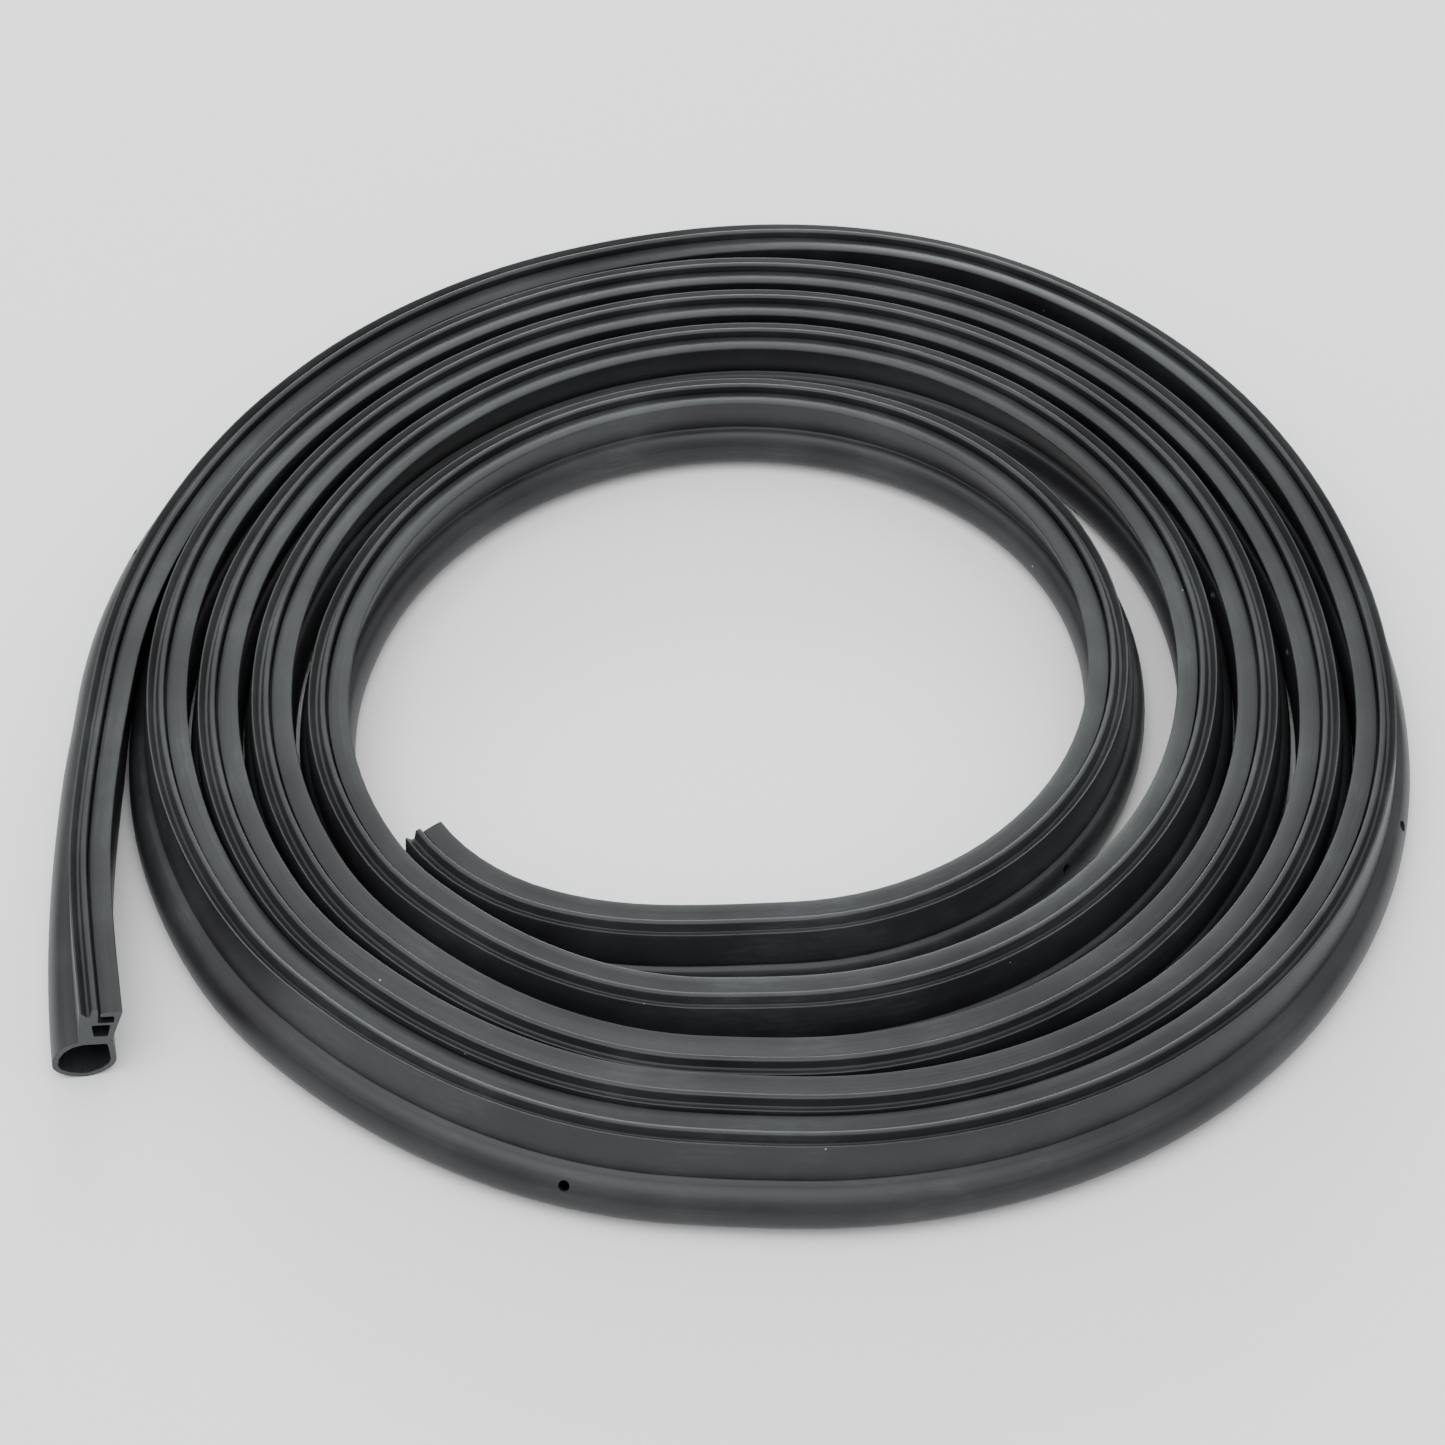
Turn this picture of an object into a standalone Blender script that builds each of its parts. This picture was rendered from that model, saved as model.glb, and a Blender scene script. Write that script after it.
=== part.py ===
"""One length of trunk weatherstrip, laid down as a loose flat coil.

The strip is a single rubber extrusion. Its hollow bulb rests on the floor and its slotted carrier
stands on the bulb. Five turns lie beside each other, with both cut ends free. The section is
lofted along the coil, because the carrier leans by a different amount along its length.
Units are metres and degrees.
"""
import bisect
import math
from collections import namedtuple

import bmesh
import bpy
from mathutils import Vector

MM = 0.001

# Strip: the hollow bulb
BULB_WIDTH_FREE = 18.0 * MM
BULB_WIDTH_PRESSED = 15.2 * MM
BULB_HEIGHT = 14.5 * MM
BULB_BELLY_HEIGHT = 6.5 * MM
BULB_KEEL = 0.8 * MM
BULB_WALL = 1.6 * MM

# Strip: the carrier that stands on the bulb
NECK_WIDTH = 9.8 * MM
NECK_FOLLOW = 0.6
CARRIER_WIDTH = 12.0 * MM
CARRIER_SET_IN = 1.6 * MM
CARRIER_HEIGHT = 13.3 * MM
CORNER_BREAK = 0.5 * MM
CHANNEL_WALL = 2.4 * MM
CHANNEL_FLOOR = 8.4 * MM
CHANNEL_HEIGHT = 2.7 * MM
LIP_WIDTH = 6.2 * MM
LIP_DROP = 0.9 * MM
MOUTH_WIDTH = 0.7 * MM
RIB_WIDTH = 1.7 * MM
RIB_RISE = 1.0 * MM
GROOVE_WIDTH = 2.6 * MM
GROOVE_DEPTH = 1.9 * MM
CHAMBER_WIDTH = 5.4 * MM
CHAMBER_FLOOR = 2.6 * MM
CHAMBER_ROOF = 0.9 * MM
CHAMBER_TAPER = 0.8 * MM

# Strip: the air vents through the outer shoulder of the bulb
VENT_DIAMETER = 3.2 * MM
VENT_SPACING = 294.0 * MM
VENT_FIRST = 200.5 * MM
VENT_SIDES = 8
VENT_PROUD = 0.15 * MM

# Coil: angles along the strip run from its inner end, anticlockwise seen from above
TURN = 360.0
COIL_END = 1801.5
INNER_END_BEARING = 212.9
EYE_RADIUS = 100.0 * MM
TURN_GAP = 0.5 * MM
INNER_END_FLARE = 20.6 * MM
INNER_END_FLARE_SPAN = 58.0
FIRST_CLIMB_START = 141.0
EYE_OVAL = 1.5 * MM
EYE_OVAL_BEARING = 46.0
TAIL_SPREAD = 32.0 * MM
TAIL_SPAN = 34.0
STATIONS_PER_TURN = 26

# Coil: where a turn stands off the one inside it
Lobe = namedtuple("Lobe", "centre half_span amount")
FIRST_GAP = 11.3 * MM
FIRST_GAP_OPENS = (369.0, 407.0)
FIRST_GAP_CLOSES = (572.0, 727.0)
THIRD_TURN_SLACK = 3.9 * MM
FOURTH_TURN_SLACK = 4.6 * MM
FIFTH_TURN_SLACK = 3.7 * MM
LAST_TURN_SLACK = 2.2 * MM
SLACK_LOBES = (
    Lobe(818.0, 73.0, THIRD_TURN_SLACK),
    Lobe(1188.0, 66.0, FOURTH_TURN_SLACK),
    Lobe(1488.0, 144.0, FIFTH_TURN_SLACK),
    Lobe(1707.0, 162.0, LAST_TURN_SLACK),
)

# Coil: how the carrier stands at some places along the strip. Its lean is towards the coil's
# middle, in degrees, and set_in is how far inward of the bulb's middle its neck stands.
NECK_STEP = 1.0 * MM  # set_in is stated in these steps
Stop = namedtuple("Stop", "run lean set_in")
STOPS = (
    Stop(0.0, 1.0, -2.0 * NECK_STEP),
    Stop(60.0, 3.0, -1.0 * NECK_STEP),
    Stop(150.0, 10.0, -2.0 * NECK_STEP),
    Stop(240.0, 1.0, -1.0 * NECK_STEP),
    Stop(330.0, 4.0, -1.5 * NECK_STEP),
    Stop(420.0, 4.0, -1.0 * NECK_STEP),
    Stop(510.0, 12.0, -2.0 * NECK_STEP),
    Stop(600.0, 2.0, -1.0 * NECK_STEP),
    Stop(690.0, 4.0, -1.0 * NECK_STEP),
    Stop(775.0, -7.0, -2.0 * NECK_STEP),
    Stop(870.0, 9.0, -1.5 * NECK_STEP),
    Stop(960.0, 2.0, -1.0 * NECK_STEP),
    Stop(1050.0, 4.0, -1.0 * NECK_STEP),
    Stop(1140.0, -2.0, -0.5 * NECK_STEP),
    Stop(1230.0, 9.0, -1.5 * NECK_STEP),
    Stop(1320.0, 2.0, -0.5 * NECK_STEP),
    Stop(1385.0, 2.0, 0.0 * NECK_STEP),
    Stop(1450.0, 13.0, 1.5 * NECK_STEP),
    Stop(1505.0, 8.0, 2.7 * NECK_STEP),
    Stop(1590.0, 3.0, 1.0 * NECK_STEP),
    Stop(1655.0, -2.0, -0.5 * NECK_STEP),
    Stop(1700.0, 9.0, 1.5 * NECK_STEP),
    Stop(1745.0, 12.0, 1.5 * NECK_STEP),
    Stop(1785.0, 2.0, 2.0 * NECK_STEP),
    Stop(COIL_END, 7.0, 2.7 * NECK_STEP),
)

RUBBER_COLOUR = (0.028, 0.030, 0.030, 1.0)
RUBBER_ROUGHNESS = 0.55


def smooth_step(x):
    """Ease from 0 to 1 as x goes from 0 to 1."""
    x = min(max(x, 0.0), 1.0)
    return x * x * (3.0 - 2.0 * x)


def smooth_bump(run, lobe):
    """One rounded hump, full at the lobe's centre and nothing past its half span."""
    x = min(abs(run - lobe.centre) / lobe.half_span, 1.0)
    return lobe.amount * 0.5 * (1.0 + math.cos(math.pi * x))


# Coil


def turn_slack(run):
    """How far the strip stands off the turn inside it, beyond touching."""
    opens = smooth_step((run - FIRST_GAP_OPENS[0]) / (FIRST_GAP_OPENS[1] - FIRST_GAP_OPENS[0]))
    closes = smooth_step((run - FIRST_GAP_CLOSES[0]) / (FIRST_GAP_CLOSES[1] - FIRST_GAP_CLOSES[0]))
    first_gap = FIRST_GAP * opens * (1.0 - closes)
    lobes = sum(smooth_bump(run, lobe) for lobe in SLACK_LOBES)
    tail = max(0.0, (run - COIL_END + TAIL_SPAN) / TAIL_SPAN)
    return first_gap + lobes + TAIL_SPREAD * tail ** 2


def first_turn_radius(run):
    """The innermost turn, whose free end flares out against the second turn."""
    flare = smooth_bump(run, Lobe(0.0, INNER_END_FLARE_SPAN, INNER_END_FLARE))
    climb = smooth_step((run - FIRST_CLIMB_START) / (TURN - FIRST_CLIMB_START))
    pitch = BULB_WIDTH_PRESSED + TURN_GAP
    return EYE_RADIUS + flare + (pitch + INNER_END_FLARE) * climb


def coil_radius(run):
    """Distance of the bulb's middle from the coil's middle."""
    oval = EYE_OVAL * math.cos(2.0 * math.radians(INNER_END_BEARING + run - EYE_OVAL_BEARING))
    outward = 0.0
    while run >= TURN:
        outward += BULB_WIDTH_PRESSED + TURN_GAP + turn_slack(run)
        run -= TURN
    return first_turn_radius(run) + oval + outward


def coil_point(run):
    """The bulb's middle on the floor."""
    bearing = math.radians(INNER_END_BEARING + run)
    radius = coil_radius(run)
    return Vector((radius * math.cos(bearing), radius * math.sin(bearing), 0.0))


def carrier_stance(run):
    """How far the carrier leans in, in degrees, and where its neck then stands on the bulb.

    The soft bulb gives way, so the neck follows part of the lean.
    """
    i = min(bisect.bisect_right(STOPS, run, key=lambda stop: stop.run), len(STOPS) - 1)
    near, far = STOPS[i - 1], STOPS[i]
    ease = smooth_step((run - near.run) / (far.run - near.run))
    lean = near.lean + (far.lean - near.lean) * ease
    set_in = near.set_in + (far.set_in - near.set_in) * ease
    return lean, -set_in - NECK_FOLLOW * BULB_HEIGHT * math.sin(math.radians(lean))


def bulb_width(run):
    """The turns beside it press the bulb narrow, and it is fuller where both leave it room."""
    room = [turn_slack(at) for at in (run, run + TURN) if TURN <= at <= COIL_END]
    return min([BULB_WIDTH_FREE] + [BULB_WIDTH_PRESSED + slack for slack in room])


# Section: x runs outward from the bulb's middle and z up from the floor


def bulb_side(side, neck_x, neck_z, half_width, keel, wall, turns_up, turns_down):
    """Points from the keel up one side of the bulb to its neck, both ends left out."""
    points = []
    belly = BULB_BELLY_HEIGHT
    for turn in turns_down:
        a = math.radians(turn)
        drop = (belly - wall - keel) * (1.0 - math.sin(a)) + keel * math.cos(a) + wall
        points.append((side * half_width * math.cos(a), drop))
    points.append((side * half_width, belly))
    for turn in turns_up:
        a = math.radians(turn)
        x = neck_x + (side * half_width - neck_x) * math.sin(a)
        points.append((x, belly + (neck_z - belly) * math.cos(a)))
    return points


def lean_point(u, v, stance):
    """A point of the carrier, u outward and v up from its neck, leaned over with it."""
    lean, neck_x = stance
    a = math.radians(lean)
    return (neck_x + u * math.cos(a) - v * math.sin(a), BULB_HEIGHT + u * math.sin(a) + v * math.cos(a))


def carrier_outline(stance):
    """The carrier from the outer end of its neck, over the top, to the inner end."""
    outer = CARRIER_WIDTH / 2.0 - CARRIER_SET_IN
    inner = outer - CARRIER_WIDTH
    mouth_in = inner + LIP_WIDTH
    mouth_out = mouth_in + MOUTH_WIDTH
    rib_out = mouth_out + RIB_WIDTH
    slot_top = CHANNEL_FLOOR + CHANNEL_HEIGHT
    groove = CARRIER_HEIGHT - GROOVE_DEPTH
    points = [
        (NECK_WIDTH / 2.0, 0.0),
        (outer, CARRIER_HEIGHT - 2.0 * CORNER_BREAK),
        (outer - CORNER_BREAK, CARRIER_HEIGHT - CORNER_BREAK / 2.0),
        (rib_out + GROOVE_WIDTH / 2.0, groove),
        (rib_out, CARRIER_HEIGHT + RIB_RISE),
        (mouth_out + CORNER_BREAK / 2.0, CARRIER_HEIGHT + RIB_RISE),
        (mouth_out, CHANNEL_FLOOR),
        (inner + CHANNEL_WALL, CHANNEL_FLOOR),
        (inner + CHANNEL_WALL, slot_top),
        (mouth_in, slot_top),
        (mouth_in, CARRIER_HEIGHT - LIP_DROP),
        (inner + CORNER_BREAK, CARRIER_HEIGHT),
        (inner, CARRIER_HEIGHT - CORNER_BREAK),
        (-NECK_WIDTH / 2.0, 0.0),
    ]
    return [lean_point(u, v, stance) for u, v in points]


def chamber_outline(run):
    """The closed chamber between the channel and the bulb."""
    middle = -CARRIER_SET_IN
    top = CHANNEL_FLOOR - CHAMBER_ROOF
    half = CHAMBER_WIDTH / 2.0
    low_half = half - CHAMBER_TAPER
    points = [
        (middle + low_half, CHAMBER_FLOOR),
        (middle + half, top),
        (middle - half, top),
        (middle - low_half, CHAMBER_FLOOR),
    ]
    stance = carrier_stance(run)
    return [lean_point(u, v, stance) for u, v in points]


def outer_outline(run):
    """The strip's whole outline, from the keel up the outer side and down the inner side."""
    half = bulb_width(run) / 2.0
    carrier = carrier_outline(carrier_stance(run))
    down, up = (62.0, 30.0), (58.0, 28.0)
    outer_side = bulb_side(1.0, *carrier[0], half, BULB_KEEL, 0.0, up, down)
    inner_side = bulb_side(-1.0, *carrier[-1], half, BULB_KEEL, 0.0, up, down)
    return [(0.0, 0.0)] + outer_side + carrier + inner_side[::-1]


def bore_outline(run):
    """The hollow of the bulb, one wall inside its outline."""
    half = bulb_width(run) / 2.0 - BULB_WALL
    stance = carrier_stance(run)
    outer_x, outer_z = lean_point(NECK_WIDTH / 2.0 - BULB_WALL, -BULB_WALL / 2.0, stance)
    inner_x, inner_z = lean_point(-NECK_WIDTH / 2.0 + BULB_WALL, -BULB_WALL / 2.0, stance)
    outer_side = bulb_side(1.0, outer_x, outer_z, half, BULB_KEEL, BULB_WALL, (40.0,), (45.0,))
    inner_side = bulb_side(-1.0, inner_x, inner_z, half, BULB_KEEL, BULB_WALL, (40.0,), (45.0,))
    ceiling = [(outer_x, outer_z), (inner_x, inner_z)]
    return [(0.0, BULB_WALL)] + outer_side + ceiling + inner_side[::-1]


def place(run, outline):
    """Stand a flat outline across the strip at one place along the coil."""
    here = coil_point(run)
    ahead = coil_point(min(run + 0.5, COIL_END)) - coil_point(max(run - 0.5, 0.0))
    outward = Vector((ahead.y, -ahead.x, 0.0)).normalized()
    return [here + outward * x + Vector((0.0, 0.0, z)) for x, z in outline]


# Solids


def station_runs():
    """Places along the coil, at the same bearings on every turn, and its very end."""
    step = TURN / STATIONS_PER_TURN
    count = math.ceil(COIL_END / step - 0.5)
    return [step * i for i in range(count)] + [COIL_END]


def add_walls(bm, rings):
    """Join neighbouring rings of points with quads."""
    for near, far in zip(rings, rings[1:]):
        for i in range(len(near)):
            j = (i + 1) % len(near)
            bm.faces.new((near[i], near[j], far[j], far[i]))


def add_cut_end(bm, rings):
    """Fill the cut face of the strip, with its holes left open."""
    edges = []
    for ring in rings:
        edges += [bm.edges.get((ring[i - 1], ring[i])) for i in range(len(ring))]
    bmesh.ops.triangle_fill(bm, use_beauty=True, edges=edges)


def make_material():
    """Charcoal rubber, extruded."""
    material = bpy.data.materials.new("charcoal_rubber")
    material.use_nodes = True
    shader = material.node_tree.nodes["Principled BSDF"]
    shader.inputs["Base Color"].default_value = RUBBER_COLOUR
    shader.inputs["Roughness"].default_value = RUBBER_ROUGHNESS
    shader.inputs["Metallic"].default_value = 0.0
    return material


def make_strip(collection):
    """Loft the section along the whole coil."""
    bm = bmesh.new()
    runs = station_runs()
    lofts = []
    for outline in (outer_outline, bore_outline, chamber_outline):
        rings = [[bm.verts.new(p) for p in place(run, outline(run))] for run in runs]
        add_walls(bm, rings)
        lofts.append(rings)
    add_cut_end(bm, [rings[0] for rings in lofts])
    add_cut_end(bm, [rings[-1] for rings in lofts])
    bmesh.ops.recalc_face_normals(bm, faces=bm.faces)
    mesh = bpy.data.meshes.new("weatherstrip")
    bm.to_mesh(mesh)
    bm.free()
    mesh.shade_smooth()
    mesh.set_sharp_from_angle(angle=math.radians(40.0))
    mesh.materials.append(make_material())
    strip = bpy.data.objects.new("weatherstrip", mesh)
    collection.objects.link(strip)
    return strip


def vent_runs():
    """Where the vents fall: equal lengths of strip apart."""
    runs = station_runs()
    lengths = [0.0]
    for near, far in zip(runs, runs[1:]):
        lengths.append(lengths[-1] + (coil_point(far) - coil_point(near)).length)
    found = []
    along = VENT_FIRST
    while along < lengths[-1] - VENT_DIAMETER:
        i = bisect.bisect_right(lengths, along) - 1
        part = (along - lengths[i]) / (lengths[i + 1] - lengths[i])
        found.append((runs[i], runs[i + 1], part))
        along += VENT_SPACING
    return found


def vent_place(near, far, part):
    """Middle and axis of one vent, square to the outer shoulder of the bulb."""
    belly = 3
    corners = [place(run, outer_outline(run))[belly:belly + 2] for run in (near, far)]
    low = corners[0][0].lerp(corners[1][0], part)
    high = corners[0][1].lerp(corners[1][1], part)
    along = (corners[1][0] - corners[0][0]).normalized()
    axis = (high - low).cross(along).normalized()
    if axis.z < 0.0:
        axis.negate()
    return (low + high) / 2.0, axis


def make_vent_cutter(collection):
    """All the vents as short pins that just reach through the bulb's wall."""
    bm = bmesh.new()
    depth = 2.0 * BULB_WALL + VENT_PROUD
    for near, far, part in vent_runs():
        middle, axis = vent_place(near, far, part)
        turn = axis.to_track_quat("Z", "Y").to_matrix().to_4x4()
        turn.translation = middle + axis * (VENT_PROUD - depth / 2.0)
        bmesh.ops.create_cone(
            bm,
            cap_ends=True,
            segments=VENT_SIDES,
            radius1=VENT_DIAMETER / 2.0,
            radius2=VENT_DIAMETER / 2.0,
            depth=depth,
            matrix=turn,
        )
    mesh = bpy.data.meshes.new("vent_cutter")
    bm.to_mesh(mesh)
    bm.free()
    cutter = bpy.data.objects.new("vent_cutter", mesh)
    cutter.hide_render = True
    cutter.display_type = "WIRE"
    collection.objects.link(cutter)
    return cutter


def centre_on_origin(objects, subject):
    """Move the coil so that the middle of its footprint is at the origin."""
    xs = [v.co.x for v in subject.data.vertices]
    ys = [v.co.y for v in subject.data.vertices]
    shift = Vector(((min(xs) + max(xs)) / -2.0, (min(ys) + max(ys)) / -2.0, 0.0))
    for item in objects:
        for vertex in item.data.vertices:
            vertex.co += shift


def new_collection(name):
    """A collection in the scene."""
    collection = bpy.data.collections.new(name)
    bpy.context.scene.collection.children.link(collection)
    return collection


def main():
    """Build the strip and cut its vents."""
    for item in list(bpy.data.objects):
        bpy.data.objects.remove(item, do_unlink=True)
    parts = new_collection("trunk_weatherstrip")
    cutters = new_collection("cutters")
    strip = make_strip(parts)
    cutter = make_vent_cutter(cutters)
    centre_on_origin((strip, cutter), strip)
    cut = strip.modifiers.new("vents", "BOOLEAN")
    cut.operation = "DIFFERENCE"
    cut.solver = "EXACT"
    cut.object = cutter


main()
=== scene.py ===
"""A length of trunk weatherstrip in extruded rubber, laid as a loose flat coil, with its studio.

The strip is swept along the coil by a Geometry Nodes tree: each point of the section knows how it
follows the bulb's width and the carrier's lean, and each point of the route knows how wide and
how far over the strip is there. Lengths are metres. Sizes are given in millimetres times MM.
"""
import bisect
import logging
import math
from dataclasses import dataclass, field
from enum import Enum
from typing import Any, NamedTuple

import bmesh
import bpy
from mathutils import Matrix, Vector

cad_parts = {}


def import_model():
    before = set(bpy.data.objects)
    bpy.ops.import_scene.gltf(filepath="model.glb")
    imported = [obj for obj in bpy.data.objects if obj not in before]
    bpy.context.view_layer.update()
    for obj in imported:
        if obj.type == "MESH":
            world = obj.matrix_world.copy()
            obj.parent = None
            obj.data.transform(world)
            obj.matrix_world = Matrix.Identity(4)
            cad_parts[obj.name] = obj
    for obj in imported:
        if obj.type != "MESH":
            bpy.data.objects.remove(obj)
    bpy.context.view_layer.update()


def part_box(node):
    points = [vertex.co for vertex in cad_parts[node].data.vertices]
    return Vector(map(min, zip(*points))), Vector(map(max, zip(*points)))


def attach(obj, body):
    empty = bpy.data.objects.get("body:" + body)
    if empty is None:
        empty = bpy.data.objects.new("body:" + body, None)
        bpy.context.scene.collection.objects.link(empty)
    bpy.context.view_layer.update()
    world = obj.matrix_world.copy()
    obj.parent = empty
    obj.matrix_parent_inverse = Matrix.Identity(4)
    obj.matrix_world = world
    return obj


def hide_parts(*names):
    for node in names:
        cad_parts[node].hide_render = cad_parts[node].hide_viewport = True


MM = 0.001
TURN = 360.0
STRIP_NODE = "weatherstrip"
Colour = tuple[float, float, float, float]

log = logging.getLogger("weatherstrip")


class Flank(Enum):
    """The two long sides of the strip, as the sign of their distance from its middle."""

    OUTER = 1.0
    INNER = -1.0


class Ring(Enum):
    """The closed outlines of the section, by the name that their object takes."""

    OUTLINE = "section_outline"
    BORE = "section_bore"
    CHAMBER = "section_chamber"


class SectionPoint(NamedTuple):
    """One point of the section, before the bulb is pressed and the carrier leans.

    Its x is fixed_x + by_width * half bulb width + by_neck_x * x of the leaned carrier point, and
    its z is fixed_z + by_neck_z * z of the leaned carrier point, which is at u outward and v up.
    """

    fixed_x: float
    by_width: float
    by_neck_x: float
    fixed_z: float
    by_neck_z: float
    u: float
    v: float


class Stop(NamedTuple):
    """How the carrier stands at one place along the run.

    It leans in by some degrees, and its neck is set in from the bulb's middle.
    """

    run: float
    lean: float
    set_in: float


class Stance(NamedTuple):
    """The carrier's lean in degrees, and how far out from the bulb's middle its neck stands."""

    lean: float
    neck_x: float


class Lobe(NamedTuple):
    """A rounded hump along the run: where it peaks, how far it reaches and how high it is."""

    centre: float
    half_span: float
    amount: float


class Softbox(NamedTuple):
    """A soft rectangular lamp: its name, place, width and height, power in watts and tint."""

    name: str
    place: tuple[float, float, float]
    size: tuple[float, float]
    power: float
    tint_hex: str


def linear_colour(hex_value: str) -> Colour:
    """Turn an sRGB hex value into a linear colour.

    Args:
        hex_value: Six hex digits after a hash mark.

    Returns:
        Linear red, green and blue, and an alpha of one.
    """
    channels = [int(hex_value[i:i + 2], 16) / 255.0 for i in (1, 3, 5)]
    linear = [c / 12.92 if c <= 0.04045 else ((c + 0.055) / 1.055) ** 2.4 for c in channels]
    return (*linear, 1.0)


def add_node(tree: bpy.types.NodeTree, kind: str, settings: dict[str, Any], links: dict[Any, Any]):
    """Add a node with its settings and links.

    Args:
        tree: The node tree that takes the node.
        kind: Blender's name of the node's type.
        settings: Values for the node's own properties.
        links: For an input's name or number, the socket that feeds it or its fixed value.

    Returns:
        The node.
    """
    node = tree.nodes.new(kind)
    for name, value in settings.items():
        setattr(node, name, value)
    for key, value in links.items():
        if isinstance(value, bpy.types.NodeSocket):
            tree.links.new(value, node.inputs[key])
        else:
            node.inputs[key].default_value = value
    return node


def blank_material(name: str) -> tuple[bpy.types.Material, bpy.types.NodeTree]:
    """Start a material with an empty node tree.

    Args:
        name: The material's name.

    Returns:
        The material and its tree.
    """
    material = bpy.data.materials.new(name)
    material.use_nodes = True
    material.node_tree.nodes.clear()
    return material, material.node_tree


def smooth_step(x: float) -> float:
    """Ease from 0 to 1 as x goes from 0 to 1."""
    x = min(max(x, 0.0), 1.0)
    return x * x * (3.0 - 2.0 * x)


def smooth_bump(run: float, lobe: Lobe) -> float:
    """Height of a lobe at one place along the run."""
    x = min(abs(run - lobe.centre) / lobe.half_span, 1.0)
    return lobe.amount * 0.5 * (1.0 + math.cos(math.pi * x))


def arc_corner(before: Vector, corner: Vector, after: Vector, radius: float, steps: int) -> list[Vector]:
    """Round one corner of an outline.

    Args:
        before: The outline's point before the corner.
        corner: The corner.
        after: The outline's point after the corner.
        radius: Radius of the rounding.
        steps: How many edges the arc has.

    Returns:
        The points of the arc, or the corner alone where the radius is nothing.
    """
    if radius <= 0.0:
        return [corner]
    back, on = (before - corner).normalized(), (after - corner).normalized()
    half_angle = back.angle(on) / 2.0
    reach = radius / math.tan(half_angle)
    start, end = corner + back * reach, corner + on * reach
    middle = corner + (back + on).normalized() * (radius / math.sin(half_angle))
    first, last = start - middle, end - middle
    sweep = first.angle(last)
    points = []
    for i in range(steps + 1):
        share = i / steps
        a, b = math.sin((1.0 - share) * sweep), math.sin(share * sweep)
        points.append(middle + (first * a + last * b) / math.sin(sweep))
    return points


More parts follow.
